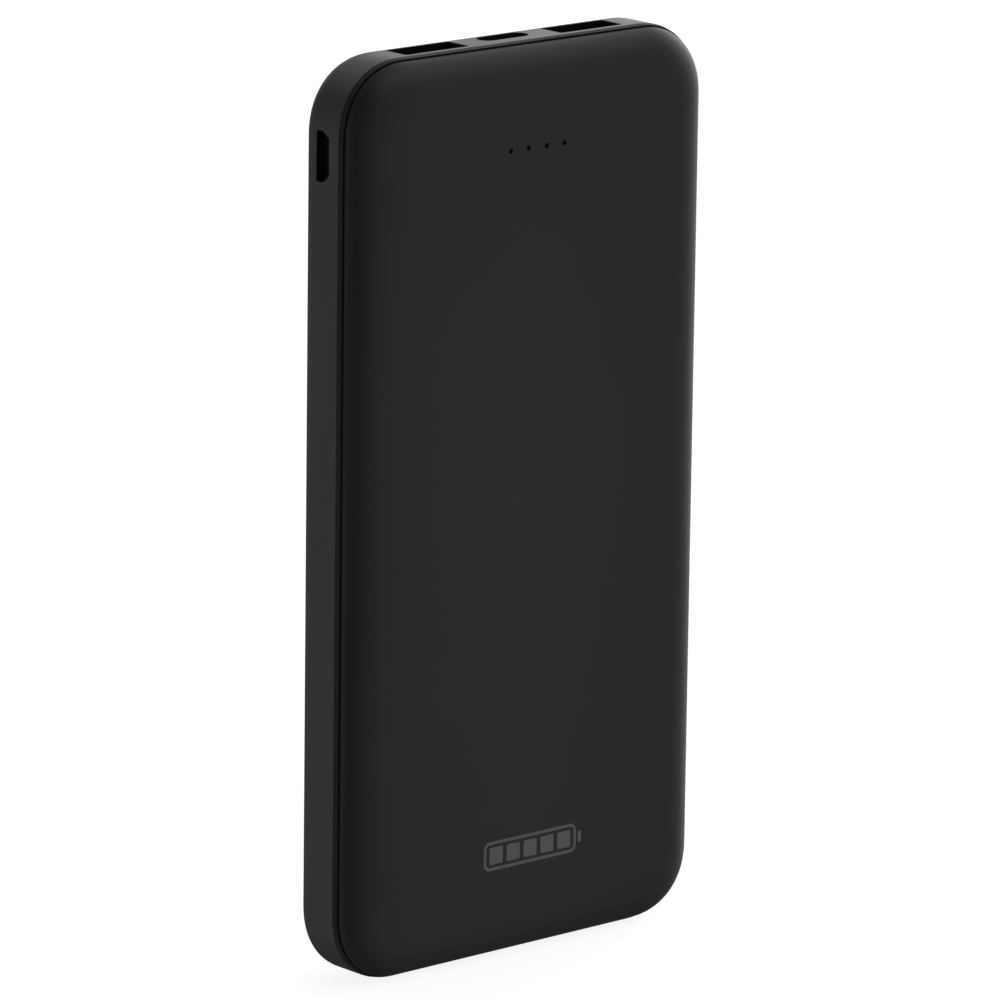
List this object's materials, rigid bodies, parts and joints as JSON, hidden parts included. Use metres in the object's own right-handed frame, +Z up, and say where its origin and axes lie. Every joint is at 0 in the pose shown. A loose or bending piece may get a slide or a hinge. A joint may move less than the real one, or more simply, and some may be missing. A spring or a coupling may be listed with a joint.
{
  "type": "power bank",
  "caption": "Slim upright power bank: pillow-edged front cover set into a tray shell, output ports on the top end, an input port and a push button on the sides.",
  "frame": {"origin": "centre of the flat bottom end, where the standing body rests", "axes": "+Z up to the port end, -Y out of the front face with the charge lights, +X towards the power button's side"},
  "size_m": [0.0743, 0.0154, 0.148],
  "materials": {
    "soft_touch_black": "soft-touch rubberised coating",
    "satin_black": "fine satin moulding",
    "grey_ink": "pad-printed ink",
    "clear_acrylic": "clear moulded acrylic",
    "white_led": "diffused white package",
    "green_board": "solder mask over glass-fibre board",
    "black_moulding": "glass-filled connector plastic",
    "white_moulding": "natural nylon",
    "ferrite": "sintered ferrite",
    "chip_resin": "moulded epoxy",
    "capacitor_ceramic": "fired ceramic with tinned ends",
    "zinc_steel": "zinc-plated steel",
    "port_steel": "nickel-plated pressed steel",
    "gold_contact": "gold-plated spring contact",
    "pouch_foil": "laminated pouch foil",
    "nickel_strip": "nickel strip",
    "insulating_card": "fish-paper card",
    "red_wire": "silicone insulation",
    "black_wire": "silicone insulation",
    "white_tape": "double-sided tissue tape",
    "black_foam": "closed-cell foam"
  },
  "bodies": {
    "casing": {"front_cover": "soft_touch_black", "back_shell": "satin_black", "printed_symbol": "grey_ink", "led_light_guide": "clear_acrylic", "charge_leds": "white_led", "main_circuit_board": "green_board", "usb_a_left_shell": "port_steel", "usb_a_left_tongue": "black_moulding", "usb_a_left_contacts": "gold_contact", "usb_a_right_shell": "port_steel", "usb_a_right_tongue": "black_moulding", "usb_a_right_contacts": "gold_contact", "usb_c_shell": "port_steel", "usb_c_tongue": "black_moulding", "usb_c_contacts": "gold_contact", "micro_usb_shell": "port_steel", "micro_usb_tongue": "black_moulding", "micro_usb_contacts": "gold_contact", "switch_body": "black_moulding", "power_inductor": "ferrite", "controller_chip": "chip_resin", "output_transistors": "chip_resin", "ceramic_capacitors": "capacitor_ceramic", "chip_resistors": "chip_resin", "board_screws": "zinc_steel", "front_cell": "pouch_foil", "back_cell": "pouch_foil", "cell_tabs": "nickel_strip", "insulation_strip": "insulating_card", "protection_board": "green_board", "protection_chips": "chip_resin", "positive_wire": "red_wire", "negative_wire": "black_wire", "cell_bonding_tape": "white_tape", "tray_tape": "white_tape", "foam_pads": "black_foam", "bottom_bumper": "black_foam"},
    "button": {"power_button": "satin_black"},
    "plunger": {"switch_plunger": "white_moulding"}
  },
  "joints": [
    {"name": "button_press", "type": "slide", "parent": "casing", "child": "button", "axis": [-1, 0, 0], "range_m": [0, 0.0003], "stiffness_N_per_m": 20},
    {"name": "plunger_press", "type": "slide", "parent": "casing", "child": "plunger", "axis": [-1, 0, 0], "range_m": [0, 0.0003]}
  ],
  "couplings": [
    {"joint": "plunger_press", "follows": "button_press", "ratio": 1}
  ]
}
